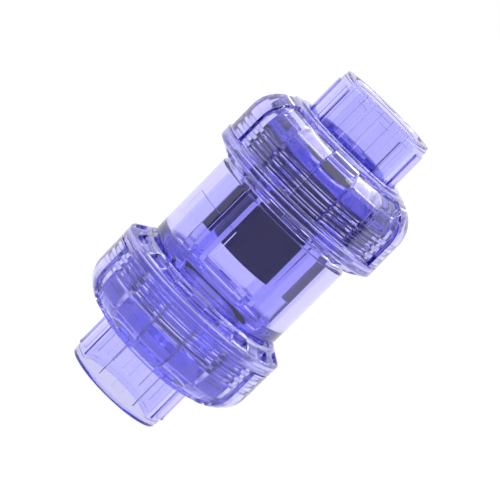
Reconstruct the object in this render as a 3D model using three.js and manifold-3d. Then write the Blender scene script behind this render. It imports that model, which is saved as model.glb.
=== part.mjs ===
// A true-union piston check valve in clear rigid PVC, for 1-inch solvent-cement pipe.
// Millimetres, +Z up. The valve stands on its outlet rim: the origin is at the middle of that
// rim's plane, and the flow enters at the top. Each union is drawn once in an "end frame", whose
// origin is the middle of the valve and whose +Z points out of that end.

import * as THREE from 'three';
import { mergeVertices } from 'three/addons/utils/BufferGeometryUtils.js';
import Module from 'manifold-3d';

const wasm = await Module();
wasm.setup();

// ---- Driving dimensions -------------------------------------------------------------------

const contactGap = 0.3; // left between two pieces that seat on each other
const runningGap = 0.4; // radial clearance of what turns or slides in something

const barrelLength = 36.8; // the plain middle of the body
const neckLength = 21.9; // each threaded neck
const boreRadius = 26.5;
const barrelWall = 4.9;
const neckWall = 2.7; // from the bore to the root of the threads
const portRadius = 11; // narrowest place of the outlet port
const passageRadius = 13.3; // bore of the end connectors and hole of the seat
const floorDepth = 13; // height of the conical floor
const floorClearance = 1.5; // under the open piston
const bodyEdge = 0.6; // every turned edge of the body
const padHeight = 11.9; // raised blank label pad
const padRelief = 0.6;
const padSweep = 49; // degrees
const padAzimuth = -39.5;
const padMiddle = -0.6;

const threadPitch = 3.6;
const threadHeight = 1.8;
const threadLead = 5.6; // plain neck before the middle of the first ridge
const threadRunout = 5; // plain neck that stays past the last one
const rootWidth = 2.4; // axial width of the ridge at its root and at its crest
const crestWidth = 0.8;

const ribCount = 4; // guide ribs inside the body
const ribThickness = 5.4;
const ribAzimuth = 52;
const stopReach = 3.6; // how far the stops under the open piston reach in past the ribs
const ribSink = 1; // how deep the ribs are rooted in the wall and the floor

const seatOverlap = 4.7; // how far the piston reaches past the seat's hole
const pistonTaper = 0.8;
const pistonLength = 28.5;
const pistonTravel = 10;
const pistonChamfer = 1;
const coreRadius = 12; // moulded hollow in the piston's underside
const coreDepth = 15.5;
const coreWall = 2; // least thickness left between that hollow and the screw's hole

const sealThickness = 2.8;
const sealInset = 0.5; // how much smaller the seal disc is than the piston
const washerInset = 1.4; // how much smaller the washer is than the seat's hole
const washerThickness = 1.8;
const screwRadius = 2.5;
const screwHeadRadius = 4.6;
const screwHeadHeight = 2.5;
const screwLength = 16;
const socketAcrossFlats = 4;
const socketDepth = 1.6;

const seatLipWidth = 1.6;
const seatLipHeight = 1;
const carrierHeight = 10.6;
const carrierEdge = 0.5;
const slotWidth = 5; // tool slots in the top of the seat carrier
const slotDepth = 2.5;
const slotWall = 1.5; // left between a slot and the groove of the face ring

const ringCord = 2.6; // section diameter of every O-ring
const faceRingShift = 0.1; // outwards from midway between passage and bore

const nutSkirt = 2.1; // gap between the barrel and the body-side edge of a union nut
const nutWall = 7.6; // from the nut's bore to its round band
const nutLip = 1.2; // width of the body-side edge
const nutLead = 1.6; // how far the nut's bore flares at that edge
const bandSlope = 4; // height of the cone below the round band
const bandHeight = 5;
const shoulderDrop = 5.6; // straight side to dome, measured down from the collar's top
const crownRise = 7.9; // crown of the dome, measured up from the collar's top
const crownWall = 2.39; // from the nut's hole to where the dome meets the raised ring
const ringRise = 0.8; // raised ring over the crown
const capWidth = 6.7; // smooth cap round the nut's hole, where the lugs run together
const lugCount = 5;
const lugSweep = 23;
const lugRelief = 2.1;
const facetCount = 15;
const pocketSweep = 12;
const pocketDepth = 3.8;
const pocketInnerWall = 2.6;
const pocketOuterWall = 1.2;

const socketPipeRadius = 16.7; // 1-inch pipe, 33.4 mm across
const socketLength = 28.6;
const socketTaper = 0.13;
const passageLength = 5.8; // from the collar's face to the floor of the socket
const hubWall = 4.65;
const collarThickness = 6;
const collarClearance = 2.4; // radial, inside the nut's bore
const gripRibCount = 12;
const gripRibSweep = 12.5;
const gripRibHeight = 0.7;
const gripClearance = 0.56; // between the grip ribs and the nut's hole
const rimPlain = 4.1; // bare length of the hub past the grip ribs
const rimChamfer = 0.8;

const inletLugAzimuth = 5.5;
const outletLugAzimuth = 0;
const inletGripAzimuth = 8;
const outletGripAzimuth = 3;

// ---- Sizes that follow ----------------------------------------------------------------------

// Heights are measured from the middle of the valve.
const barrelHalf = barrelLength / 2;
const bodyHalf = barrelHalf + neckLength;
const barrelRadius = boreRadius + barrelWall;
const neckRadius = boreRadius + neckWall;
const threadStart = barrelHalf + threadLead;
const threadTurns = 1 + Math.floor((bodyHalf - threadRunout - threadStart) / threadPitch);

const collarFoot = bodyHalf + contactGap;
const collarTop = collarFoot + collarThickness;
const socketFoot = collarFoot + passageLength;
const rimHeight = socketFoot + socketLength;
const hubRadius = socketPipeRadius + hubWall;

const threadBore = neckRadius + threadHeight + runningGap;
const collarRadius = threadBore - collarClearance;
const nutHoleRadius = hubRadius + gripRibHeight + gripClearance;
const nutFoot = barrelHalf + nutSkirt;
const flangeRadius = threadBore + nutWall;
const flangeFoot = nutFoot + bandSlope;
const flangeTop = flangeFoot + bandHeight;
const shoulderHeight = collarTop - shoulderDrop;
const crownRadius = nutHoleRadius + crownWall;
const crownHeight = collarTop + crownRise;
const nutTop = crownHeight + ringRise;

const carrierTop = bodyHalf - contactGap;
const carrierFoot = carrierTop - carrierHeight;
const carrierRadius = boreRadius - contactGap;
const pistonRadius = passageRadius + seatOverlap;
const seatLipFoot = carrierFoot - seatLipHeight;
const sealTop = seatLipFoot - contactGap;
const sealFoot = sealTop - sealThickness;
const pistonTop = sealFoot - contactGap;
const pistonFoot = pistonTop - pistonLength;
const washerRadius = passageRadius - washerInset;
const washerFoot = sealTop + contactGap;
const washerTop = washerFoot + washerThickness;

const floorTop = pistonFoot - pistonTravel - floorClearance;
const floorBottom = floorTop - floorDepth;
const ribTop = carrierFoot - contactGap;
const ribInnerRadius = pistonRadius + runningGap;
const stopHeight = pistonFoot - pistonTravel - contactGap;
const stopRadius = ribInnerRadius - stopReach;

const faceRingRadius = (passageRadius + boreRadius) / 2 + faceRingShift;
const grooveWidth = ringCord + 2 * contactGap;
const grooveDepth = ringCord + contactGap;
const grooveInner = faceRingRadius - grooveWidth / 2;
const grooveOuter = faceRingRadius + grooveWidth / 2;

const roundSegments = 36; // a multiple of four keeps the valve symmetrical about its axis
const ringSegments = 6;
const overrun = 1; // how far a cutting solid reaches past what it cuts

// ---- Shape helpers --------------------------------------------------------------------------

const radians = THREE.MathUtils.degToRad;

// A closed three.js geometry as a manifold-3d solid.
function solid(geometry) {
  const bare = new THREE.BufferGeometry();
  const source = geometry.index ? geometry.toNonIndexed() : geometry;
  bare.setAttribute('position', source.getAttribute('position'));
  const merged = mergeVertices(bare, 1e-4);
  const corners = merged.index.array;
  const kept = [];
  for (let i = 0; i < corners.length; i += 3) {
    const [a, b, c] = [corners[i], corners[i + 1], corners[i + 2]];
    if (a !== b && b !== c && c !== a) kept.push(a, b, c);
  }
  return new wasm.Manifold(new wasm.Mesh({
    numProp: 3,
    vertProperties: merged.attributes.position.array,
    triVerts: new Uint32Array(kept),
  }));
}

// Joins solids that overlap.
function joined(...solids) {
  return solids.reduce((sum, next) => sum.add(next));
}

// A [radius, height] outline, listed anticlockwise, turned round the axis. Azimuth 0 is -Y.
function turned(outline, segments = roundSegments) {
  const points = outline.map(([radius, height]) => new THREE.Vector2(radius, height));
  if (outline[0][0] > 0) points.push(points[0].clone());
  return solid(new THREE.LatheGeometry(points, segments).rotateX(Math.PI / 2));
}

// An [x, y] outline drawn up from one height to another.
function prism(outline, foot, top) {
  const shape = new THREE.Shape(outline.map(([x, y]) => new THREE.Vector2(x, y)));
  const settings = { depth: top - foot, bevelEnabled: false };
  return solid(new THREE.ExtrudeGeometry(shape, settings).translate(0, 0, foot));
}

// A point at a radius and an azimuth, where azimuth 0 is -Y and 90 is +X.
function polar(radius, azimuth) {
  return [radius * Math.sin(radians(azimuth)), -radius * Math.cos(radians(azimuth))];
}

// Equal sectors of a ring, spread evenly round the axis.
function sectors(count, sweep, azimuth, inner, outer, foot, top) {
  const wedges = [];
  for (let i = 0; i < count; i += 1) {
    const middle = azimuth + (i * 360) / count;
    const steps = [-0.5, 0, 0.5].map((share) => middle + share * sweep);
    const outline = [
      ...steps.map((angle) => polar(outer, angle)),
      ...steps.reverse().map((angle) => polar(inner, angle)),
    ];
    wedges.push(prism(outline, foot, top));
  }
  return joined(...wedges);
}

// The quarter ellipse of a nut's dome, from its side to its crown.
function dome(sideRadius, rise) {
  const arc = [];
  const steps = 4;
  for (let i = 0; i <= steps; i += 1) {
    const angle = (i / steps) * (Math.PI / 2);
    const radius = crownRadius + (sideRadius - crownRadius) * Math.cos(angle);
    arc.push([radius, shoulderHeight + rise * Math.sin(angle)]);
  }
  return arc;
}

// ---- Finishes -------------------------------------------------------------------------------

const clearPvc = new THREE.MeshStandardMaterial({
  color: 0xb4b2ff, roughness: 0.06, metalness: 0, transparent: true, opacity: 0.45,
});
const darkPlastic = new THREE.MeshStandardMaterial({ color: 0x1c1838, roughness: 0.45, metalness: 0 });
const rubber = new THREE.MeshStandardMaterial({ color: 0x101014, roughness: 0.75, metalness: 0 });

// A finished solid as a named mesh in a group.
function place(group, name, shape, finish) {
  const { vertProperties, triVerts } = shape.getMesh();
  const geometry = new THREE.BufferGeometry();
  geometry.setAttribute('position', new THREE.BufferAttribute(vertProperties, 3));
  geometry.setIndex(new THREE.BufferAttribute(triVerts, 1));
  geometry.computeVertexNormals();
  const mesh = new THREE.Mesh(geometry, finish.clone());
  mesh.name = name;
  group.add(mesh);
}

// ---- Body -----------------------------------------------------------------------------------

// The ridges of one neck, from the barrel outwards, at their pitch.
function threadRidges() {
  const outline = [];
  for (let i = 0; i < threadTurns; i += 1) {
    const middle = threadStart + i * threadPitch;
    outline.push(
      [neckRadius, middle - rootWidth / 2],
      [neckRadius + threadHeight, middle - crestWidth / 2],
      [neckRadius + threadHeight, middle + crestWidth / 2],
      [neckRadius, middle + rootWidth / 2],
    );
  }
  return outline;
}

// Barrel, two necks, conical floor, outlet port and the groove of the outlet's face ring.
function bodyShell() {
  const flareShare = 0.4; // of the port's length
  const portFoot = -bodyHalf + (bodyHalf + floorBottom) * flareShare;
  const ridges = threadRidges();
  return turned([
    [passageRadius, -bodyHalf],
    [grooveInner, -bodyHalf],
    [grooveInner, -bodyHalf + grooveDepth],
    [grooveOuter, -bodyHalf + grooveDepth],
    [grooveOuter, -bodyHalf],
    [neckRadius - bodyEdge, -bodyHalf],
    [neckRadius, -bodyHalf + bodyEdge],
    ...ridges.map(([radius, height]) => [radius, -height]).reverse(),
    [neckRadius, -barrelHalf],
    [barrelRadius - bodyEdge, -barrelHalf],
    [barrelRadius, -barrelHalf + bodyEdge],
    [barrelRadius, barrelHalf - bodyEdge],
    [barrelRadius - bodyEdge, barrelHalf],
    [neckRadius, barrelHalf],
    ...ridges,
    [neckRadius, bodyHalf - bodyEdge],
    [neckRadius - bodyEdge, bodyHalf],
    [boreRadius + bodyEdge, bodyHalf],
    [boreRadius, bodyHalf - bodyEdge],
    [boreRadius, floorTop],
    [portRadius, floorBottom],
    [portRadius, portFoot],
  ]);
}

// A guide rib: beside the piston, with a step at its foot that stops the open piston.
function guideRib(azimuth) {
  const foot = floorBottom - ribSink;
  const shape = new THREE.Shape([
    [boreRadius + ribSink, foot],
    [boreRadius + ribSink, ribTop],
    [ribInnerRadius, ribTop],
    [ribInnerRadius, stopHeight],
    [stopRadius, stopHeight],
    [stopRadius, foot],
  ].map(([radius, height]) => new THREE.Vector2(radius, height)));
  const slab = new THREE.ExtrudeGeometry(shape, { depth: ribThickness, bevelEnabled: false });
  slab.translate(0, 0, -ribThickness / 2);
  slab.rotateX(Math.PI / 2);
  slab.rotateZ(radians(azimuth - 90));
  return solid(slab);
}

// The blank raised pad on the barrel, as a slice of a ring.
function labelPad() {
  const outline = [];
  const steps = 6;
  const spread = Array.from({ length: steps + 1 }, (_, i) => padAzimuth + (i / steps - 0.5) * padSweep);
  outline.push(...spread.map((angle) => polar(barrelRadius + padRelief, angle)));
  outline.push(...spread.reverse().map((angle) => polar(barrelRadius - overrun, angle)));
  return prism(outline, padMiddle - padHeight / 2, padMiddle + padHeight / 2);
}

function valveBody() {
  const ribs = [];
  for (let i = 0; i < ribCount; i += 1) ribs.push(guideRib(ribAzimuth + (i * 360) / ribCount));
  const portClear = turned([
    [0, -bodyHalf - overrun],
    [portRadius, -bodyHalf - overrun],
    [portRadius, floorBottom],
    [0, floorBottom],
  ]);
  return joined(bodyShell(), ...ribs.map((rib) => rib.subtract(portClear)), labelPad());
}

// ---- Seat and piston --------------------------------------------------------------------------

// The ring that holds the seat lip, with a groove outside for its own O-ring and one on top.
function seatCarrier() {
  const grooveFoot = (carrierFoot + carrierTop - grooveWidth) / 2;
  const ring = turned([
    [passageRadius, seatLipFoot],
    [passageRadius + seatLipWidth, seatLipFoot],
    [passageRadius + seatLipWidth, carrierFoot],
    [carrierRadius - carrierEdge, carrierFoot],
    [carrierRadius, carrierFoot + carrierEdge],
    [carrierRadius, grooveFoot],
    [carrierRadius - grooveDepth, grooveFoot],
    [carrierRadius - grooveDepth, grooveFoot + grooveWidth],
    [carrierRadius, grooveFoot + grooveWidth],
    [carrierRadius, carrierTop - carrierEdge],
    [carrierRadius - carrierEdge, carrierTop],
    [grooveOuter, carrierTop],
    [grooveOuter, carrierTop - grooveDepth],
    [grooveInner, carrierTop - grooveDepth],
    [grooveInner, carrierTop],
    [passageRadius, carrierTop],
  ]);
  const slotReach = grooveInner - slotWall;
  const slot = prism([
    [-slotReach, -slotWidth / 2],
    [slotReach, -slotWidth / 2],
    [slotReach, slotWidth / 2],
    [-slotReach, slotWidth / 2],
  ], carrierTop - slotDepth, carrierTop + overrun);
  return ring.subtract(slot);
}

function oRing(radius, height) {
  const torus = new THREE.TorusGeometry(radius, ringCord / 2, ringSegments, roundSegments);
  return solid(torus.translate(0, 0, height));
}

function pistonCup() {
  const bore = screwRadius + contactGap;
  const holeFoot = washerTop - screwLength + contactGap;
  const coreTop = Math.min(pistonFoot + coreDepth, holeFoot - coreWall);
  return turned([
    [0, coreTop],
    [coreRadius, coreTop],
    [coreRadius, pistonFoot],
    [pistonRadius - pistonTaper - pistonChamfer, pistonFoot],
    [pistonRadius - pistonTaper, pistonFoot + pistonChamfer],
    [pistonRadius, pistonTop - pistonChamfer / 2],
    [pistonRadius - pistonChamfer / 2, pistonTop],
    [bore, pistonTop],
    [bore, holeFoot],
    [0, holeFoot],
  ]);
}

// A flat ring with its top outer edge taken off.
function discRing(outer, foot, top, edge) {
  const bore = screwRadius + contactGap;
  return turned([[bore, foot], [outer, foot], [outer, top - edge], [outer - edge, top], [bore, top]]);
}

function retainingScrew() {
  const headFoot = washerTop + contactGap;
  const headTop = headFoot + screwHeadHeight;
  const tip = washerTop - screwLength + 2 * contactGap;
  const headEdge = 0.5;
  const blank = turned([
    [0, tip],
    [screwRadius, tip],
    [screwRadius, headFoot],
    [screwHeadRadius, headFoot],
    [screwHeadRadius, headTop - headEdge],
    [screwHeadRadius - headEdge, headTop],
    [0, headTop],
  ]);
  const corner = socketAcrossFlats / 2 / Math.cos(Math.PI / 6);
  const hexagon = Array.from({ length: 6 }, (_, i) => polar(corner, i * 60));
  return blank.subtract(prism(hexagon, headTop - socketDepth, headTop + overrun));
}

// ---- Unions, in the end frame -----------------------------------------------------------------

// A union nut: fifteen-sided, with five raised lugs that run from the round band up into a cap.
function unionNut(lugAzimuth) {
  const sideInset = 0.1; // of the lugs, behind the round band
  const sideRadius = flangeRadius - sideInset;
  const facetRadius = (sideRadius - lugRelief) / Math.cos(Math.PI / facetCount);
  const core = nutHoleRadius - 2 * overrun;
  const [ringFoot, ringTop] = [1.3, 0.3]; // how far the raised ring reaches past the crown
  const ringEdge = 0.4;
  const bandEdge = 1;
  const shoulder = collarTop + contactGap;
  const facets = turned([
    [core, flangeFoot + overrun],
    [facetRadius, flangeFoot + overrun],
    ...dome(facetRadius, crownHeight - shoulderHeight - lugRelief / 2),
    [core, crownHeight - lugRelief / 2],
  ], facetCount).rotate([0, 0, lugAzimuth - 180 / facetCount]);
  const cap = turned([
    [0, shoulderHeight],
    [nutHoleRadius + capWidth, shoulderHeight],
    [nutHoleRadius + capWidth, nutTop],
    [0, nutTop],
  ]);
  const wedges = sectors(
    lugCount, lugSweep, lugAzimuth,
    crownRadius - overrun, flangeRadius * 2, flangeTop - overrun / 2, nutTop,
  );
  const lugs = turned([
    [core, flangeTop - overrun],
    [sideRadius, flangeTop - overrun],
    ...dome(sideRadius, crownHeight - shoulderHeight),
    [core, crownHeight],
  ]).intersect(joined(wedges, cap));
  const band = turned([
    [core, nutFoot],
    [threadBore + nutLip, nutFoot],
    [flangeRadius, flangeFoot],
    [flangeRadius, flangeTop - bandEdge],
    [flangeRadius - bandEdge, flangeTop],
    [core, flangeTop],
  ]);
  const crown = turned([
    [core, shoulderHeight],
    [crownRadius + ringFoot, shoulderHeight],
    [crownRadius + ringTop + ringEdge, nutTop - ringEdge],
    [crownRadius + ringTop, nutTop],
    [core, nutTop],
  ]);
  const cavity = turned([
    [0, nutFoot - overrun],
    [threadBore + nutLead, nutFoot - overrun],
    [threadBore, nutFoot + nutLip],
    [threadBore, shoulder],
    [nutHoleRadius, shoulder],
    [nutHoleRadius, nutTop + overrun],
    [0, nutTop + overrun],
  ]);
  const pockets = sectors(
    facetCount, pocketSweep, lugAzimuth + 180 / facetCount,
    threadBore + pocketInnerWall, flangeRadius - pocketOuterWall, nutFoot - overrun, nutFoot + pocketDepth,
  );
  return joined(facets, lugs, band, crown).subtract(cavity).subtract(pockets);
}

// An end connector: a pipe socket with grip ribs, and a collar that the nut pulls to the body.
function endConnector(gripAzimuth) {
  const collarEdge = 0.5;
  const hub = turned([
    [passageRadius, collarFoot],
    [collarRadius - collarEdge, collarFoot],
    [collarRadius, collarFoot + collarEdge],
    [collarRadius, collarTop],
    [hubRadius, collarTop],
    [hubRadius, rimHeight - rimChamfer],
    [hubRadius - rimChamfer, rimHeight],
    [socketPipeRadius + socketTaper + rimChamfer, rimHeight],
    [socketPipeRadius + socketTaper, rimHeight - rimChamfer],
    [socketPipeRadius, socketFoot],
    [passageRadius, socketFoot],
  ]);
  const grips = sectors(
    gripRibCount, gripRibSweep, gripAzimuth,
    hubRadius - overrun, hubRadius + gripRibHeight, collarTop - overrun, rimHeight - rimPlain,
  );
  return joined(hub, grips);
}

// ---- Assembly -----------------------------------------------------------------------------------

const valve = new THREE.Group();
valve.position.z = rimHeight;

const inletEnd = new THREE.Group();
valve.add(inletEnd);

const outletEnd = new THREE.Group();
outletEnd.rotation.x = Math.PI;
valve.add(outletEnd);

place(valve, 'valve_body', valveBody(), clearPvc);
place(valve, 'seat_carrier', seatCarrier(), darkPlastic);
const carrierRingHeight = (carrierFoot + carrierTop) / 2;
place(valve, 'seat_carrier_o_ring', oRing(carrierRadius - ringCord / 2, carrierRingHeight), rubber);
place(inletEnd, 'inlet_face_o_ring', oRing(faceRingRadius, bodyHalf - ringCord / 2), rubber);
place(outletEnd, 'outlet_face_o_ring', oRing(faceRingRadius, bodyHalf - ringCord / 2), rubber);

place(valve, 'piston', pistonCup(), darkPlastic);
place(valve, 'piston_seal_disc', discRing(pistonRadius - sealInset, sealFoot, sealTop, 0.2), rubber);
place(valve, 'seal_retaining_washer', discRing(washerRadius, washerFoot, washerTop, 0.4), darkPlastic);
place(valve, 'seal_retaining_screw', retainingScrew(), darkPlastic);

place(inletEnd, 'inlet_union_nut', unionNut(inletLugAzimuth), clearPvc);
place(outletEnd, 'outlet_union_nut', unionNut(180 - outletLugAzimuth), clearPvc);
place(inletEnd, 'inlet_end_connector', endConnector(inletGripAzimuth), clearPvc);
place(outletEnd, 'outlet_end_connector', endConnector(180 - outletGripAzimuth), clearPvc);

export default valve;
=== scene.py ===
"""A clear true-union check valve with a sliding piston, built piece by piece in metres."""

import math

import bpy
from mathutils import Matrix, Vector


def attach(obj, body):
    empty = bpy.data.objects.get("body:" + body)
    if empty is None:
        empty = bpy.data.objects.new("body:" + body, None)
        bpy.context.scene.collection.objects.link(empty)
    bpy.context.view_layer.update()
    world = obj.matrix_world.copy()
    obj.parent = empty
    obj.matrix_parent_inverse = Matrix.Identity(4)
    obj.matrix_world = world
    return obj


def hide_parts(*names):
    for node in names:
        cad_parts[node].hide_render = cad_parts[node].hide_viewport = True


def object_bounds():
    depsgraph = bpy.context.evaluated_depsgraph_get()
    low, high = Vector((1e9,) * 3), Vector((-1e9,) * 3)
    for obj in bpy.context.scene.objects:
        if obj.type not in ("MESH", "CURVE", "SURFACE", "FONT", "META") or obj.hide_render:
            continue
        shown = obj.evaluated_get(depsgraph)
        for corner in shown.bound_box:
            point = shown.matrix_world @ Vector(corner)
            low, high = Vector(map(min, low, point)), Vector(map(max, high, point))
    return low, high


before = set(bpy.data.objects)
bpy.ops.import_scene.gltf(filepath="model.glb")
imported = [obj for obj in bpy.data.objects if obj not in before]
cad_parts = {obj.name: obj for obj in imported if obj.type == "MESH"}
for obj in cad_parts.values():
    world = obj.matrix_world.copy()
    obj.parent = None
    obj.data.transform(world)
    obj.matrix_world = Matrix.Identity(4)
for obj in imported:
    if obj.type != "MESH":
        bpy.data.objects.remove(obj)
cad_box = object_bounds()
mid_height = (cad_box[0][2] + cad_box[1][2]) / 2

mm = 0.001


# ---- Valve body ---------------------------------------------------------------------------
# The body is one injection moulding in clear, violet-tinted rigid PVC: a barrel, two threaded
# necks, a conical floor with the outlet port, and four guide ribs with a stop at their feet.


class Value:
    """A number on its way through a node tree. Arithmetic on it adds Math nodes."""

    def __init__(self, tree, socket):
        self.tree = tree
        self.socket = socket

    def math(self, operation, *others):
        made = self.tree.node("ShaderNodeMath", {"operation": operation}, self, *others)
        return Value(self.tree, made.outputs[0])

    def __add__(self, other):
        return self.math("ADD", other)

    __radd__ = __add__

    def __sub__(self, other):
        return self.math("SUBTRACT", other)

    def __rsub__(self, other):
        return (self * -1).math("ADD", other)

    def __mul__(self, other):
        return self.math("MULTIPLY", other)

    __rmul__ = __mul__

    def __truediv__(self, other):
        return self.math("DIVIDE", other)

    def __rtruediv__(self, other):
        made = self.tree.node("ShaderNodeMath", {"operation": "DIVIDE"}, other, self)
        return Value(self.tree, made.outputs[0])

    def clamped(self):
        return self.math("MAXIMUM", 0.0).math("MINIMUM", 1.0)

    def eased(self):
        """A straight ramp from 0 to 1 with its two ends rounded."""
        return self * self * (3.0 - 2.0 * self)


class Tree:
    """A node tree that is being written, one node per call."""

    def __init__(self, data):
        self.data = data

    def node(self, kind, settings=(), *values, **named):
        made = self.data.nodes.new(kind)
        for key, setting in dict(settings).items():
            setattr(made, key, setting)
        for place, value in [*enumerate(values), *named.items()]:
            key = place if isinstance(place, int) else place.replace("_", " ")
            value = value.socket if isinstance(value, Value) else value
            if isinstance(value, bpy.types.NodeSocket):
                self.data.links.new(value, made.inputs[key])
            else:
                made.inputs[key].default_value = value
        return made

    def value(self, socket):
        return Value(self, socket)


class Shape(Tree):
    """A Geometry Nodes tree with named inputs for its sizes."""

    def __init__(self, name, **sizes):
        super().__init__(bpy.data.node_groups.new(name, "GeometryNodeTree"))
        kinds = {float: "NodeSocketFloat", int: "NodeSocketInt", str: "NodeSocketString"}
        face = self.data.interface
        face.new_socket("Geometry", in_out="INPUT", socket_type="NodeSocketGeometry")
        for key, default in sizes.items():
            made = face.new_socket(key, in_out="INPUT", socket_type=kinds[type(default)])
            made.default_value = default
        face.new_socket("Material", in_out="INPUT", socket_type="NodeSocketMaterial")
        face.new_socket("Geometry", in_out="OUTPUT", socket_type="NodeSocketGeometry")
        self.inputs = self.data.nodes.new("NodeGroupInput").outputs

    def size(self, name):
        return Value(self, self.inputs[name])

    def place(self):
        """Where a point is: its x, y, z, its radius and its azimuth, which is 0 at -Y."""
        split = self.node("ShaderNodeSeparateXYZ", (), self.node("GeometryNodeInputPosition").outputs[0])
        x, y, z = (self.value(socket) for socket in split.outputs)
        return x, y, z, (x * x + y * y).math("SQRT"), x.math("ARCTAN2", y * -1)

    def attribute(self, name):
        """The radial and the axial part of a stored vector."""
        read = self.node("GeometryNodeInputNamedAttribute", {"data_type": "FLOAT_VECTOR"}, name)
        split = self.node("ShaderNodeSeparateXYZ", (), read.outputs[0])
        return self.value(split.outputs[0]), self.value(split.outputs[2])

    def moved(self, geometry, x, y, z):
        offset = self.node("ShaderNodeCombineXYZ", (), x, y, z).outputs[0]
        return self.node("GeometryNodeSetPosition", (), Geometry=geometry, Offset=offset).outputs[0]

    def finished(self, geometry):
        whole = self.node("GeometryNodeRealizeInstances", (), geometry).outputs[0]
        dressed = self.node("GeometryNodeSetMaterial", (), Geometry=whole, Material=self.inputs["Material"])
        self.node("NodeGroupOutput", (), dressed.outputs[0])
        return self.data


def boss_share(tree, azimuth, count, first, sweep, edge):
    """How far a point is on one of some equal bosses round the axis, and that boss's azimuth."""
    pitch = math.tau / count
    middle = ((azimuth - first) / pitch).math("ROUND") * pitch + first
    off = (azimuth - middle).math("ABSOLUTE")
    return ((sweep * 0.5 - off) / edge + 0.5).clamped().eased(), middle


def bosses_tree():
    """Lifts equal bosses round the axis, as far as the stored lift says at each point."""
    tree = Shape("bosses", Lift="lift", Count=1.0, First=0.0, Sweep=0.1, Edge=0.01, Parallel=0.0)
    _, _, _, _, azimuth = tree.place()
    sizes = [tree.size(name) for name in ("Count", "First", "Sweep", "Edge")]
    share, middle = boss_share(tree, azimuth, *sizes)
    radial, axial = tree.attribute(tree.inputs["Lift"])
    way = azimuth + (middle - azimuth) * tree.size("Parallel")
    out = share * radial
    shape = tree.moved(
        tree.inputs["Geometry"], out * way.math("SINE"), out * way.math("COSINE") * -1, share * axial
    )
    return tree.finished(shape)


def thread_tree():
    """A right-hand ridge that winds round a plain wall and runs out at both ends."""
    tree = Shape(
        "thread", Weight="thread", Pitch=0.004, First=0.0, Height=0.002, Root=0.002, Crest=0.001,
        Low=0.0, High=0.01, Fade=0.001,
    )
    _, _, z, _, azimuth = tree.place()
    pitch = tree.size("Pitch")
    turns = (z - tree.size("First")) / pitch - azimuth / math.tau
    off = (turns - turns.math("ROUND")).math("ABSOLUTE") * pitch
    flank = (tree.size("Root") - tree.size("Crest")) * 0.5
    ridge = ((tree.size("Root") * 0.5 - off) / flank).clamped().eased()
    fade = ((z - tree.size("Low")) / tree.size("Fade")).clamped()
    fade = fade * ((tree.size("High") - z) / tree.size("Fade")).clamped()
    weight, _ = tree.attribute(tree.inputs["Weight"])
    out = ridge * fade * weight * tree.size("Height")
    shape = tree.moved(
        tree.inputs["Geometry"], out * azimuth.math("SINE"), out * azimuth.math("COSINE") * -1, 0.0
    )
    return tree.finished(shape)


bosses = bosses_tree()
thread = thread_tree()


def shaped(piece, tree, **sizes):
    """Runs a tree on a piece, and keeps the result as the piece's plain mesh."""
    modifier = piece.modifiers.new(tree.name, "NODES")
    modifier.node_group = tree
    sizes["Material"] = piece.data.materials[0]
    for item in tree.interface.items_tree:
        if item.in_out == "INPUT" and item.name in sizes:
            modifier[item.identifier] = sizes[item.name]
    graph = bpy.context.evaluated_depsgraph_get()
    mesh = bpy.data.meshes.new_from_object(piece.evaluated_get(graph), depsgraph=graph)
    piece.modifiers.clear()
    piece.data = mesh


corner_steps = 5
unsplit = 99


def filleted(outline):
    """A closed outline with its corners rounded, as fine points.

    Each corner gives its radius, its height, its fillet, and the step along the side after it.
    """
    fine = []
    count = len(outline)
    for i, (radius, height, fillet, step) in enumerate(outline):
        corner = Vector((radius, height))
        before = Vector(outline[i - 1][:2]) - corner
        after = Vector(outline[(i + 1) % count][:2]) - corner
        arc = [corner]
        if fillet > 0:
            half = before.angle(after) / 2
            reach = min(fillet / math.tan(half), before.length * 0.45, after.length * 0.45)
            start, end = corner + before.normalized() * reach, corner + after.normalized() * reach
            arc = []
            for k in range(corner_steps + 1):
                t = k / corner_steps
                arc.append(start * (1 - t) ** 2 + corner * 2 * t * (1 - t) + end * t * t)
        fine.extend(arc)
        far = outline[(i + 1) % count]
        stop = Vector(far[:2])
        if far[2] > 0:
            back = corner - stop
            turn = back.angle(Vector(outline[(i + 2) % count][:2]) - stop) / 2
            stop += back.normalized() * min(far[2] / math.tan(turn), back.length * 0.45)
        pieces = max(1, math.ceil((stop - arc[-1]).length / step))
        fine.extend(arc[-1].lerp(stop, k / pieces) for k in range(1, pieces))
    return fine


def azimuths(edges=(), blend=0.6, step=2.5):
    """Azimuths in degrees all round, with extra ones where a boss starts or ends."""
    marks = [i * step for i in range(round(360 / step))]
    for edge in edges:
        marks = [mark for mark in marks if abs((mark - edge + 180) % 360 - 180) > blend * 0.8]
        marks.extend((edge + share * blend) % 360 for share in (-0.5, -0.25, 0, 0.25, 0.5))
    return sorted(set(marks))


def boss_edges(count, first, sweep):
    """The azimuths of both sides of each of some equal bosses."""
    return [first + i * 360 / count + side * sweep / 2 for i in range(count) for side in (-1, 1)]


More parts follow.
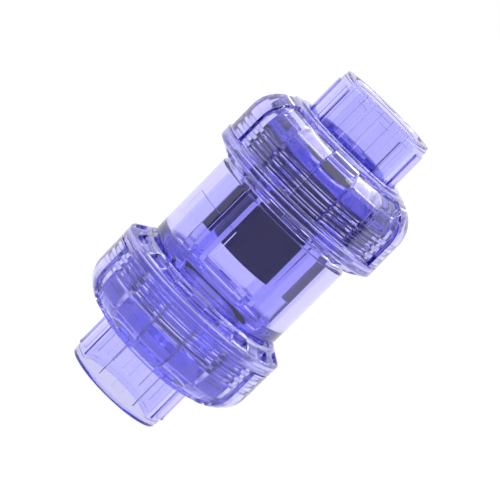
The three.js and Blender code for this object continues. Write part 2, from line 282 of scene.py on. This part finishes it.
def blank(name, outline, material, marks=None, closed=True, **weights):
    """A fine turned blank in millimetres, with stored vectors for what is lifted from it later."""
    ring = marks or azimuths()
    rows, columns = len(outline), len(ring)
    points = [
        (r * mm * math.sin(math.radians(a)), -r * mm * math.cos(math.radians(a)), h * mm)
        for r, h in outline
        for a in ring
    ]
    faces = []
    for i in range(rows if closed else rows - 1):
        low, high = i * columns, ((i + 1) % rows) * columns
        for j in range(columns):
            k = (j + 1) % columns
            faces.append((low + j, low + k, high + k, high + j))
    if not closed:
        faces.append(tuple(reversed(range(columns))))
        faces.append(tuple(range((rows - 1) * columns, rows * columns)))
    mesh = bpy.data.meshes.new(name)
    mesh.from_pydata(points, [], faces)
    for key, rule in weights.items():
        stored = mesh.attributes.new(key, "FLOAT_VECTOR", "POINT")
        for i, (r, h) in enumerate(outline):
            lift = [part * mm for part in rule(r, h)]
            for j in range(columns):
                stored.data[i * columns + j].vector = lift
    mesh.materials.append(material)
    piece = bpy.data.objects.new(name, mesh)
    bpy.context.scene.collection.objects.link(piece)
    return piece


def smoothed(piece, angle=50):
    """Shades a piece smooth, keeps its edges that turn more than an angle, and its flats flat."""
    piece.data.shade_smooth()
    piece.data.set_sharp_from_angle(angle=math.radians(angle))
    modifier = piece.modifiers.new("flats", "WEIGHTED_NORMAL")
    modifier.keep_sharp = True
    modifier.weight = 90
    graph = bpy.context.evaluated_depsgraph_get()
    piece.data = bpy.data.meshes.new_from_object(piece.evaluated_get(graph), depsgraph=graph)
    piece.modifiers.clear()


class Finish(Tree):
    """A material that is being written."""

    def __init__(self, name):
        made = bpy.data.materials.new(name)
        made.use_nodes = True
        super().__init__(made.node_tree)
        self.material = made
        self.data.nodes.clear()
        self.point = self.node("ShaderNodeTexCoord").outputs["Object"]

    def noise(self, scale, detail=3.0, point=None):
        made = self.node("ShaderNodeTexNoise", (), Vector=point or self.point, Scale=scale, Detail=detail)
        return self.value(made.outputs["Fac"])

    def mixed(self, share, low, high):
        made = self.node("ShaderNodeMix", {"data_type": "RGBA"})
        self.data.links.new(share.socket, made.inputs["Factor"])
        made.inputs[6].default_value = low
        made.inputs[7].default_value = high
        return made.outputs[2]

    def bumped(self, height, strength, distance):
        return self.node(
            "ShaderNodeBump", (), Strength=strength, Distance=distance, Height=height
        ).outputs["Normal"]

    def surface(self, volume=None, **sockets):
        shader = self.node("ShaderNodeBsdfPrincipled", (), **sockets)
        out = self.node("ShaderNodeOutputMaterial", (), Surface=shader.outputs[0])
        if volume:
            self.data.links.new(volume.outputs[0], out.inputs["Volume"])
        return self.material


def clear_pvc_finish():
    """Clear PVC: the tint deepens with thickness, and the mould leaves it faintly wavy."""
    finish = Finish("clear_pvc")
    waves = finish.noise(60.0, 2.0)
    tint = finish.mixed(finish.noise(60.0), (0.72, 0.71, 0.985, 1), (0.75, 0.74, 0.99, 1))
    deepening = finish.node(
        "ShaderNodeVolumeAbsorption", (), Color=(0.12, 0.04, 0.77, 1), Density=30.0
    )
    return finish.surface(
        volume=deepening,
        Base_Color=tint,
        Roughness=0.05,
        IOR=1.53,
        Transmission_Weight=1.0,
        Normal=finish.bumped(waves, 0.06, 0.0004),
    )


clear_pvc = clear_pvc_finish()

pitch, thread_first, thread_height = 3.6, 22.2, 1.8
root_width, crest_width = 2.4, 0.8
thread_low, thread_high, thread_fade = 20.6, 40.2, 0.7
pad_azimuth, pad_sweep, pad_edge, pad_relief = -39.5, 49.0, 0.5, 0.6


def neck_weight(r, h):
    return (1, 0, 0) if r > 28.4 and thread_low - 1 < abs(h) else (0, 0, 0)


def pad_lift(r, h):
    return (pad_relief, 0, 0) if r > 31 and -6.55 < h < 5.35 else (0, 0, 0)


body = blank(
    "body_moulding",
    filleted([
        (13.3, -40.3, 0.3, 1.5), (18.4, -40.3, 0.2, 1), (18.4, -37.4, 0.4, 1), (21.6, -37.4, 0.4, 1),
        (21.6, -40.3, 0.2, 1.5), (29.2, -40.3, 0.5, 0.1), (29.2, -20.2, 0, 0.6),
        (29.2, -18.4, 0.5, 0.6), (31.4, -18.4, 0.6, 1.5), (31.4, -6.6, 0, 0.1), (31.4, -6.5, 0, 1.5),
        (31.4, 5.3, 0, 0.1), (31.4, 5.4, 0, 1.5), (31.4, 18.4, 0.6, 0.6), (29.2, 18.4, 0.5, 0.6),
        (29.2, 20.2, 0, 0.1), (29.2, 40.3, 0.5, 0.6), (26.5, 40.3, 0.6, 2.5),
        (26.5, -15.0, 3.0, 1.2), (11.0, -28.0, 1.5, 2.0), (11.0, -35.4, 2.0, 1.2),
    ]),
    clear_pvc,
    azimuths(boss_edges(1, pad_azimuth, pad_sweep), pad_edge),
    thread=neck_weight,
    pad=pad_lift,
)
shaped(
    body, bosses, Lift="pad", Count=1.0, First=math.radians(pad_azimuth),
    Sweep=math.radians(pad_sweep), Edge=math.radians(pad_edge),
)
for first, low, high in (
    (thread_first, thread_low, thread_high),
    (-thread_first - pitch / 2, -thread_high, -thread_low),
):
    shaped(
        body, thread, Weight="thread", Pitch=pitch * mm, First=first * mm, Height=thread_height,
        Root=root_width * mm, Crest=crest_width * mm, Low=low * mm, High=high * mm,
        Fade=thread_fade * mm,
    )

rib_count, rib_azimuth = 4, 52.0
rib_thickness, rib_rounding = 5.4, 0.45


def rib_blank():
    """One guide rib: beside the piston, with a step at its foot that stops the open piston."""
    side = [(27.2, -29.0), (27.2, 29.1), (18.4, 29.1), (18.4, -13.8), (14.8, -13.8), (14.8, -29.0)]
    points = [
        (rib_thickness / 2 * turn * mm, -r * mm, h * mm) for turn in (-1, 1) for r, h in side
    ]
    count = len(side)
    faces = [tuple(range(count)), tuple(reversed(range(count, 2 * count)))]
    faces += [(i, i + count, (i + 1) % count + count, (i + 1) % count) for i in range(count)]
    mesh = bpy.data.meshes.new("guide_rib")
    mesh.from_pydata(points, [], faces)
    rib = bpy.data.objects.new("guide_rib", mesh)
    bpy.context.scene.collection.objects.link(rib)
    rounding = rib.modifiers.new("rounding", "BEVEL")
    rounding.width = rib_rounding * mm
    rounding.segments = 3
    graph = bpy.context.evaluated_depsgraph_get()
    rib.data = bpy.data.meshes.new_from_object(rib.evaluated_get(graph), depsgraph=graph)
    rib.modifiers.clear()
    return rib


def ribs_tree(rib):
    """Sets copies of a rib evenly round the axis, and joins them to the wall."""
    tree = Shape("guide_ribs", Count=4, First=0.0)
    info = tree.node("GeometryNodeObjectInfo", {"transform_space": "ORIGINAL"}, rib)
    spots = tree.node("GeometryNodeMeshLine", {"mode": "OFFSET"}, Count=tree.inputs["Count"])
    spots.inputs["Offset"].default_value = (0, 0, 0)
    index = tree.value(tree.node("GeometryNodeInputIndex").outputs[0])
    angle = tree.size("First") + index * math.tau / tree.size("Count")
    turn = tree.node("ShaderNodeCombineXYZ", (), 0.0, 0.0, angle).outputs[0]
    copies = tree.node(
        "GeometryNodeInstanceOnPoints", (), Points=spots.outputs[0], Instance=info.outputs["Geometry"],
        Rotation=turn,
    )
    solid = tree.node("GeometryNodeRealizeInstances", (), copies.outputs[0]).outputs[0]
    join = tree.node("GeometryNodeMeshBoolean", {"operation": "UNION", "solver": "MANIFOLD"})
    tree.data.links.new(tree.inputs["Geometry"], join.inputs["Mesh"])
    tree.data.links.new(solid, join.inputs["Mesh"])
    return tree.finished(join.outputs[0])


rib = rib_blank()
shaped(body, ribs_tree(rib), Count=rib_count, First=math.radians(rib_azimuth))
bpy.data.objects.remove(rib)


def set_at(piece, end="inlet"):
    """Puts a piece that is drawn from the valve's middle in its place at one end."""
    turn = Matrix.Rotation(math.pi, 4, "X") if end == "outlet" else Matrix.Identity(4)
    piece.data.transform(Matrix.Translation((0, 0, mid_height)) @ turn)


def kept(piece, node, rides, angle=50):
    """Closes a piece: it stands for its CAD node and moves with a body."""
    smoothed(piece, angle)
    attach(piece, rides)
    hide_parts(node)


set_at(body)
kept(body, "valve_body", "body")


# ---- Union nuts ---------------------------------------------------------------------------
# Each nut is a clear moulding: fifteen-sided, with five lugs for a wrench, a round band, and
# fifteen pockets in its body-side face. Its inner thread draws the connector to the body.

lug_count, facet_count = 5, 15
lug_sweep, pocket_sweep, nut_edge = 23.0, 12.0, 1.2
side_radius, lug_relief = 38.9, 2.1
facet_radius = (side_radius - lug_relief) / math.cos(math.pi / facet_count)
band_top, shoulder = 29.45, 41.0
crown_radius, crown_height, crown_relief = 25.0, 54.5, 1.05


def dome_point(t, side, top):
    """A point on the nut's dome, where t is 0 at its side and 1 at its crown."""
    angle = t * math.pi / 2
    out = crown_radius + (side - crown_radius) * math.cos(angle)
    return out, shoulder + (top - shoulder) * math.sin(angle)


def dome_points(start, stop, count, side, top):
    return [dome_point(start + i / count * (stop - start), side, top) for i in range(count + 1)]


cap_start, cap_end = 0.8, 0.97
recess = dome_points(0.0, cap_start, 20, facet_radius, crown_height - crown_relief)
cap = dome_points(cap_start, cap_end, 6, side_radius, crown_height)
dome = [(r, h, 0, 9) for r, h in recess]
dome += [(cap[0][0], cap[0][1], 0.25, 9)] + [(r, h, 0, 9) for r, h in cap[1:]]


def on_recess(r, h):
    """How far up the recessed part of its outside a point of the nut is, or None off that part."""
    if h < band_top or r < recess[-1][0] - 0.02 or (h > shoulder and r > cap[0][0] and h > cap[0][1]):
        return None
    if h <= shoulder:
        return 0.0
    return math.acos(min(1.0, (r - crown_radius) / (facet_radius - crown_radius))) / (math.pi / 2)


def lug_lift(r, h):
    t = on_recess(r, h)
    if t is None:
        return (0, 0, 0)
    if t == 0:
        return (side_radius - facet_radius, 0, 0)
    outer, top = dome_point(t, side_radius, crown_height)
    return (outer - r, 0, top - h)


def flat_weight(r, h):
    return (0, 0, 0) if on_recess(r, h) is None else (1 / mm, 0, 0)


pocket_floor = 24.3


def pocket_lift(r, h):
    return (0, 0, pocket_floor - h) if 34.0 < r < 37.8 and 20.6 < h < 24.2 else (0, 0, 0)


def nut_tree():
    """Flattens a nut's side into facets, raises its lugs and sinks its pockets."""
    tree = Shape(
        "union_nut", Lugs=5.0, Facets=15.0, First=0.0, Lug_sweep=0.4, Pocket_sweep=0.2, Edge=0.02,
    )
    x, y, _, _, azimuth = tree.place()
    edge, first = tree.size("Edge"), tree.size("First")
    lug, _ = boss_share(tree, azimuth, tree.size("Lugs"), first, tree.size("Lug_sweep"), edge)
    half = math.pi / tree.size("Facets")
    pocket, _ = boss_share(
        tree, azimuth, tree.size("Facets"), first + half, tree.size("Pocket_sweep"), edge
    )
    _, facet = boss_share(tree, azimuth, tree.size("Facets"), first, tree.size("Lug_sweep"), edge)
    flat, _ = tree.attribute("flat")
    inward = (half.math("COSINE") / (azimuth - facet).math("COSINE") - 1) * flat * (1 - lug)
    out, up = tree.attribute("lug")
    _, sink = tree.attribute("pocket")
    across = lug * out
    shape = tree.moved(
        tree.inputs["Geometry"],
        x * inward + across * azimuth.math("SINE"),
        y * inward - across * azimuth.math("COSINE"),
        lug * up + pocket * sink,
    )
    return tree.finished(shape)


nut_shape = nut_tree()
nut_outline = filleted([
    (31.4, 21.7, 0.3, 0.5), (32.27, 20.5, 0.15, 1), (32.7, 20.5, 0.15, 0.8), (33.93, 21.28, 0, 1),
    (34.07, 21.37, 0, 0.9), (37.73, 23.69, 0, 1), (37.87, 23.78, 0, 0.8), (39.0, 24.5, 0.8, 1.5),
    (39.0, 28.9, 0.4, 0.6), (facet_radius, 29.5, 0.3, 1.5), *dome, (25.9, 53.5, 0, 1),
    (25.6, 54.9, 0.3, 1), (25.2, 55.3, 0.3, 1), (22.6, 55.3, 0.35, 2), (22.6, 46.9, 0.4, 2),
    (31.4, 46.9, 0.8, 1), (31.4, 42.0, 0, 0.13),
])


def nut_thread_weight(r, h):
    return (1, 0, 0) if r < 31.45 and 21 < h < 42.1 else (0, 0, 0)


def union_nut(name, node, rides, end, lug_azimuth):
    edges = boss_edges(lug_count, lug_azimuth, lug_sweep)
    edges += boss_edges(facet_count, lug_azimuth + 180 / facet_count, pocket_sweep)
    corners = [lug_azimuth + (i + 0.5) * 360 / lug_count for i in range(lug_count)]
    marks = azimuths(edges, nut_edge)
    marks = sorted(set(marks) | {corner % 360 for corner in corners})
    nut = blank(
        name, nut_outline, clear_pvc, marks, lug=lug_lift, flat=flat_weight, pocket=pocket_lift,
        thread=nut_thread_weight,
    )
    shaped(
        nut, nut_shape, Lugs=float(lug_count), Facets=float(facet_count),
        First=math.radians(lug_azimuth), Lug_sweep=math.radians(lug_sweep),
        Pocket_sweep=math.radians(pocket_sweep), Edge=math.radians(nut_edge),
    )
    shaped(
        nut, thread, Weight="thread", Pitch=pitch * mm, First=(thread_first + pitch / 2) * mm,
        Height=-thread_height, Root=(pitch - crest_width - 0.6) * mm, Crest=0.7 * mm,
        Low=22.4 * mm, High=40.4 * mm, Fade=0.9 * mm,
    )
    set_at(nut, end)
    kept(nut, node, rides)


union_nut("inlet_nut_moulding", "inlet_union_nut", "inlet_nut", "inlet", 5.5)
union_nut("outlet_nut_moulding", "outlet_union_nut", "outlet_nut", "outlet", 180.0)


# ---- End connectors -----------------------------------------------------------------------
# A clear moulded hub with a tapered socket for the pipe and twelve grip ribs outside. The
# collar at its inner end is what the nut pulls against the body.

grip_count, grip_sweep, grip_edge, grip_relief = 12, 12.5, 0.7, 0.7
hub_outline = filleted([
    (13.3, 40.6, 0.3, 1.5), (29.0, 40.6, 0.6, 1.5), (29.0, 46.6, 0.6, 1.5), (21.35, 46.6, 0.4, 1),
    (21.35, 47.4, 0, 0.1), (21.35, 47.5, 0, 2), (21.35, 70.85, 0, 0.1), (21.35, 70.95, 0, 0.8),
    (21.35, 73.1, 0.2, 0.5), (21.1, 73.35, 0.2, 0.6), (21.0, 75.0, 0.5, 0.8), (17.55, 75.0, 0.5, 0.5),
    (16.83, 74.2, 0.3, 2), (16.7, 46.4, 0.4, 1), (13.3, 46.4, 0.4, 1.2),
])


def grip_lift(r, h):
    return (grip_relief, 0, 0) if 21.3 < r < 21.4 and 47.45 < h < 70.9 else (0, 0, 0)


def end_connector(name, node, rides, end, grip_azimuth):
    edges = boss_edges(grip_count, grip_azimuth, grip_sweep)
    hub = blank(name, hub_outline, clear_pvc, azimuths(edges, grip_edge), grip=grip_lift)
    shaped(
        hub, bosses, Lift="grip", Count=float(grip_count), First=math.radians(grip_azimuth),
        Sweep=math.radians(grip_sweep), Edge=math.radians(grip_edge),
    )
    set_at(hub, end)
    kept(hub, node, rides)


end_connector("inlet_connector_moulding", "inlet_end_connector", "inlet_connector", "inlet", 8.0)
end_connector("outlet_connector_moulding", "outlet_end_connector", "outlet_connector", "outlet", 177.0)


# ---- Seat carrier -------------------------------------------------------------------------
# A blue-black moulded ring, pressed tight into the body's bore. Its lip is the seat, and two
# slots in its top take the tool that sets it.


def dark_plastic_finish():
    finish = Finish("dark_plastic")
    stretched = finish.node("ShaderNodeMapping", (), Vector=finish.point, Scale=(1, 1, 0.12)).outputs[0]
    streaks = finish.noise(220.0, 3.0, stretched)
    colour = finish.mixed(finish.noise(120.0), (0.014, 0.006, 0.060, 1), (0.022, 0.010, 0.088, 1))
    return finish.surface(
        Base_Color=colour,
        Roughness=0.42 + streaks * 0.06,
        IOR=1.49,
        Normal=finish.bumped(streaks, 0.02, 0.0003),
    )


dark_plastic = dark_plastic_finish()


slot_count, slot_azimuth, slot_sweep, slot_edge, slot_floor = 2, 90.0, 20.0, 0.6, 37.5


def slot_lift(r, h):
    return (0, 0, min(0.0, slot_floor - h)) if r < 17.2 and h > 33 else (0, 0, 0)


carrier = blank(
    "carrier_moulding",
    filleted([
        (13.3, 28.4, 0.4, 1), (14.9, 28.4, 0.4, 0.6), (14.9, 29.4, 0.3, 1.5), (26.55, 29.4, 0.4, 1),
        (26.55, 33.1, 0.2, 1), (23.6, 33.1, 0.3, 1), (23.6, 36.3, 0.3, 1), (26.55, 36.3, 0.2, 1),
        (26.55, 39.6, 0.4, 1.2), (26.0, 40.0, 0.2, 1.2), (21.6, 40.0, 0.2, 1),
        (21.6, 37.1, 0.4, 1), (18.4, 37.1, 0.4, 1), (18.4, 40.0, 0.2, 0.6), (17.25, 40.0, 0, 0.1), (17.15, 40.0, 0, 0.8), (13.3, 40.0, 0.3, 0.8),
    ]),
    dark_plastic,
    azimuths(boss_edges(slot_count, slot_azimuth, slot_sweep), slot_edge),
    slots=slot_lift,
)
shaped(
    carrier, bosses, Lift="slots", Count=float(slot_count), First=math.radians(slot_azimuth),
    Sweep=math.radians(slot_sweep), Edge=math.radians(slot_edge),
)
set_at(carrier)
kept(carrier, "seat_carrier", "body")


# ---- Piston -------------------------------------------------------------------------------
# A blue-black moulded cup that slides between the guide ribs, faced with a rubber disc that a
# washer and a screw with a hexagon socket hold down.

piston = blank(
    "piston_moulding",
    filleted([
        (0.01, 12.0, 0, 1), (12.0, 12.0, 1.2, 2), (12.0, -3.5, 0.4, 1), (17.2, -3.5, 0.9, 1.5),
        (18.0, 25.0, 0.5, 1.5), (2.8, 25.0, 0.2, 2), (2.8, 14.2, 0.1, 1), (0.01, 14.2, 0, unsplit),
    ]),
    dark_plastic,
    azimuths(step=3),
    closed=False,
)
set_at(piston)
kept(piston, "piston", "piston")

washer = blank(
    "washer_turning",
    filleted([(2.8, 28.4, 0.2, 1), (11.9, 28.4, 0.3, 1), (11.9, 30.2, 0.5, 1), (2.8, 30.2, 0.2, 1)]),
    dark_plastic,
    azimuths(step=3),
)
set_at(washer)
kept(washer, "seal_retaining_washer", "piston")


def socket_tree():
    """Sinks a hexagon socket into the head of a screw."""
    tree = Shape("hexagon_socket", Flats=0.004, Depth=0.0016, Top=0.033)
    sides = 6
    corner = tree.size("Flats") / (2 * math.cos(math.pi / sides))
    prism = tree.node("GeometryNodeMeshCylinder", (), Vertices=sides, Radius=corner, Depth=tree.size("Depth") * 2)
    up = tree.node("ShaderNodeCombineXYZ", (), 0.0, 0.0, tree.size("Top")).outputs[0]
    put = tree.node("GeometryNodeTransform", (), Geometry=prism.outputs[0], Translation=up)
    cut = tree.node("GeometryNodeMeshBoolean", {"operation": "DIFFERENCE", "solver": "MANIFOLD"})
    tree.data.links.new(tree.inputs["Geometry"], cut.inputs["Mesh 1"])
    tree.data.links.new(put.outputs[0], cut.inputs["Mesh 2"])
    return tree.finished(cut.outputs[0])


screw = blank(
    "screw_moulding",
    filleted([
        (0.01, 14.8, 0, 1), (2.5, 14.8, 0.5, 1), (2.5, 30.5, 0.2, 1), (4.6, 30.5, 0.2, 1),
        (4.6, 33.0, 0.6, 1), (0.01, 33.0, 0, unsplit),
    ]),
    dark_plastic,
    azimuths(step=6),
    closed=False,
)
shaped(screw, socket_tree(), Flats=4 * mm, Depth=1.6 * mm, Top=33.0 * mm)
set_at(screw)
kept(screw, "seal_retaining_screw", "piston")


# ---- Rubber seals -------------------------------------------------------------------------
# Black EPDM: one disc on the piston, and three O-rings, one round the seat carrier and one
# under each connector's collar.


def rubber_finish():
    finish = Finish("black_rubber")
    dust = finish.noise(900.0, 5.0)
    colour = finish.mixed(finish.noise(150.0), (0.010, 0.010, 0.011, 1), (0.022, 0.022, 0.024, 1))
    return finish.surface(
        Base_Color=colour, Roughness=0.55 + dust * 0.2, Normal=finish.bumped(dust, 0.2, 0.0002)
    )


rubber = rubber_finish()

disc = blank(
    "seal_disc_rubber",
    filleted([(2.8, 25.3, 0.2, 2), (17.5, 25.3, 0.4, 1), (17.5, 28.1, 0.4, 2), (2.8, 28.1, 0.2, 1)]),
    rubber,
    azimuths(step=3),
)
set_at(disc)
kept(disc, "piston_seal_disc", "piston")

cord_radius = 1.3
ring_steps = 20


def o_ring(name, node, radius, height, end="inlet"):
    section = [math.tau * i / ring_steps for i in range(ring_steps)]
    outline = [(radius + cord_radius * math.cos(a), height + cord_radius * math.sin(a)) for a in section]
    ring = blank(name, outline, rubber, azimuths(step=3))
    set_at(ring, end)
    kept(ring, node, "body", 60)


o_ring("carrier_ring_rubber", "seat_carrier_o_ring", 24.9, 34.7)
o_ring("inlet_ring_rubber", "inlet_face_o_ring", 20.0, 39.0)
o_ring("outlet_ring_rubber", "outlet_face_o_ring", 20.0, 39.0, "outlet")


# ---- Studio -------------------------------------------------------------------------------
# A white sweep under and behind the valve, a bright surround, and softboxes above and beside.


def stage_finish():
    finish = Finish("white_sweep")
    tone = finish.mixed(finish.noise(3.0), (0.10, 0.10, 0.10, 1), (0.11, 0.11, 0.11, 1))
    return finish.surface(
        Base_Color=tone, Roughness=0.9, Emission_Color=(1, 1, 1, 1), Emission_Strength=0.88
    )


reach = 6.0
floor_corners = [(-reach, -reach, 0), (reach, -reach, 0), (reach, reach, 0), (-reach, reach, 0)]
floor_mesh = bpy.data.meshes.new("floor")
floor_mesh.from_pydata(floor_corners, [], [(0, 1, 2, 3)])
floor_mesh.materials.append(stage_finish())
floor = bpy.data.objects.new("floor", floor_mesh)
bpy.context.scene.collection.objects.link(floor)


def surround():
    """White all round, and brighter overhead, as under a large ceiling panel."""
    world = bpy.data.worlds.new("surround")
    world.use_nodes = True
    tree = Tree(world.node_tree)
    tree.data.nodes.clear()
    outwards = tree.node("ShaderNodeTexCoord").outputs["Generated"]
    way = tree.node("ShaderNodeSeparateXYZ", (), outwards)
    overhead = ((tree.value(way.outputs[2]) - 0.3) / 0.5).clamped().eased()
    white = tree.node("ShaderNodeBackground", (), (1, 1, 1, 1), 1.0 + overhead)
    tree.node("ShaderNodeOutputWorld", (), white.outputs[0])
    return world


bpy.context.scene.world = surround()

softbox_size, softbox_power = (0.50, 1.05), 8.0


def softbox(name, spot):
    """A long white panel that hangs level overhead."""
    light = bpy.data.lights.new(name, "AREA")
    light.shape = "RECTANGLE"
    light.size, light.size_y = softbox_size
    light.energy = softbox_power
    lamp = bpy.data.objects.new(name, light)
    lamp.location = spot
    bpy.context.scene.collection.objects.link(lamp)


softbox("left_softbox", (-0.38, 0.10, 0.88))
softbox("right_softbox", (0.46, 0.10, 0.88))


def front_flag(radius, height, sweep):
    """A curved black cloth in front, which keeps the white surround out of the reflections."""
    steps = 32
    turns = [math.radians((i / steps - 0.5) * sweep) for i in range(steps + 1)]
    points = [(radius * math.sin(a), -radius * math.cos(a), h) for h in (0.001, height) for a in turns]
    faces = [(i, i + 1, i + steps + 2, i + steps + 1) for i in range(steps)]
    mesh = bpy.data.meshes.new("front_flag")
    mesh.from_pydata(points, [], faces)
    cloth = Finish("black_cloth")
    weave = cloth.noise(400.0)
    black = cloth.surface(Base_Color=(0.01, 0.01, 0.012, 1), Roughness=0.85 + weave * 0.1)
    mesh.materials.append(black)
    flag = bpy.data.objects.new("front_flag", mesh)
    bpy.context.scene.collection.objects.link(flag)
    flag.visible_camera = False
    flag.visible_diffuse = False
    flag.visible_transmission = False
    flag.visible_shadow = False


front_flag(0.45, 0.42, 130.0)

camera = bpy.data.cameras.new("camera")
camera.lens = 216.0
camera.clip_start, camera.clip_end = 0.05, 20.0
viewer = bpy.data.objects.new("camera", camera)
elevation, distance, lean = math.radians(8.0), 1.14, math.radians(45.3)
away = Vector((0, -math.cos(elevation), math.sin(elevation)))
upright = Vector((0, math.sin(elevation), math.cos(elevation)))
right = Vector((1, 0, 0))
across = upright * math.cos(lean) + right * math.sin(lean)
up = upright * math.sin(lean) - right * math.cos(lean)
spot = Vector((0, 0, mid_height)) + away * distance
facing = Matrix((across, up, away)).transposed().to_4x4()
viewer.matrix_world = Matrix.Translation(spot) @ facing
bpy.context.scene.collection.objects.link(viewer)

scene = bpy.context.scene
scene.camera = viewer
scene.view_settings.view_transform = "Standard"
scene.cycles.max_bounces = 32
scene.cycles.transmission_bounces = 32
scene.cycles.glossy_bounces = 8
